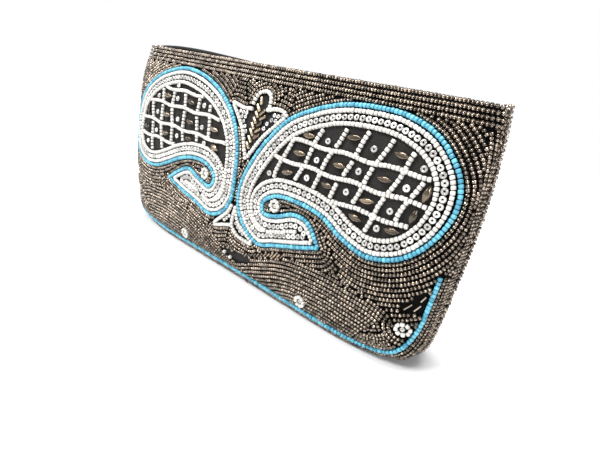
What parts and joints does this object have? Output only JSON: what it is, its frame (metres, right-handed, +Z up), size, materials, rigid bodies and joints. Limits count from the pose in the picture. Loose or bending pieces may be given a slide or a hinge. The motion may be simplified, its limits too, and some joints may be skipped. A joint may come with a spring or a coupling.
{
  "type": "beaded velvet purse",
  "caption": "Stuffed velvet pouch purse that stands on its base, open in a slit at the top, its front covered with seed-bead paisleys, lattice windows and a corded edge.",
  "frame": {"origin": "on the floor under the middle of the whole form", "axes": "+X to the right along the width as seen from the front, -Y out of the beaded front, +Z up to the mouth"},
  "size_m": [0.2256, 0.0378, 0.1109],
  "materials": {
    "velvet": "dark charcoal pile",
    "bronze_beads": "opaque metallic bronze seed beads",
    "white_beads": "opaque creamy white seed beads",
    "blue_beads": "opaque turquoise blue seed beads",
    "oval_beads": "opaque metallic bronze oval beads"
  },
  "bodies": {
    "root": {"front_panel": "velvet", "back_panel": "velvet", "edge_rope": "bronze_beads", "bead_ground_lower": "bronze_beads", "bead_ground_upper": "bronze_beads", "hem_line": "blue_beads", "paisley_outline_right": "blue_beads", "paisley_band_right": "white_beads", "lattice_right": "white_beads", "paisley_outline_left": "blue_beads", "paisley_band_left": "white_beads", "lattice_left": "white_beads", "tulip": "white_beads", "lower_petals": "white_beads", "daisy_corner_right": "white_beads", "daisy_corner_left": "white_beads", "daisy_hem_right": "white_beads", "daisy_hem_left": "white_beads", "daisy_hook_right": "white_beads", "daisy_hook_left": "white_beads", "oval_bead_right_01": "oval_beads", "oval_bead_right_02": "oval_beads", "oval_bead_right_03": "oval_beads", "oval_bead_right_04": "oval_beads", "oval_bead_right_05": "oval_beads", "oval_bead_right_06": "oval_beads", "oval_bead_right_07": "oval_beads", "oval_bead_right_08": "oval_beads", "oval_bead_right_09": "oval_beads", "oval_bead_right_10": "oval_beads", "oval_bead_right_11": "oval_beads", "oval_bead_right_12": "oval_beads", "oval_bead_right_13": "oval_beads", "oval_bead_left_01": "oval_beads", "oval_bead_left_02": "oval_beads", "oval_bead_left_03": "oval_beads", "oval_bead_left_04": "oval_beads", "oval_bead_left_05": "oval_beads", "oval_bead_left_06": "oval_beads", "oval_bead_left_07": "oval_beads", "oval_bead_left_08": "oval_beads", "oval_bead_left_09": "oval_beads", "oval_bead_left_10": "oval_beads"}
  },
  "joints": []
}
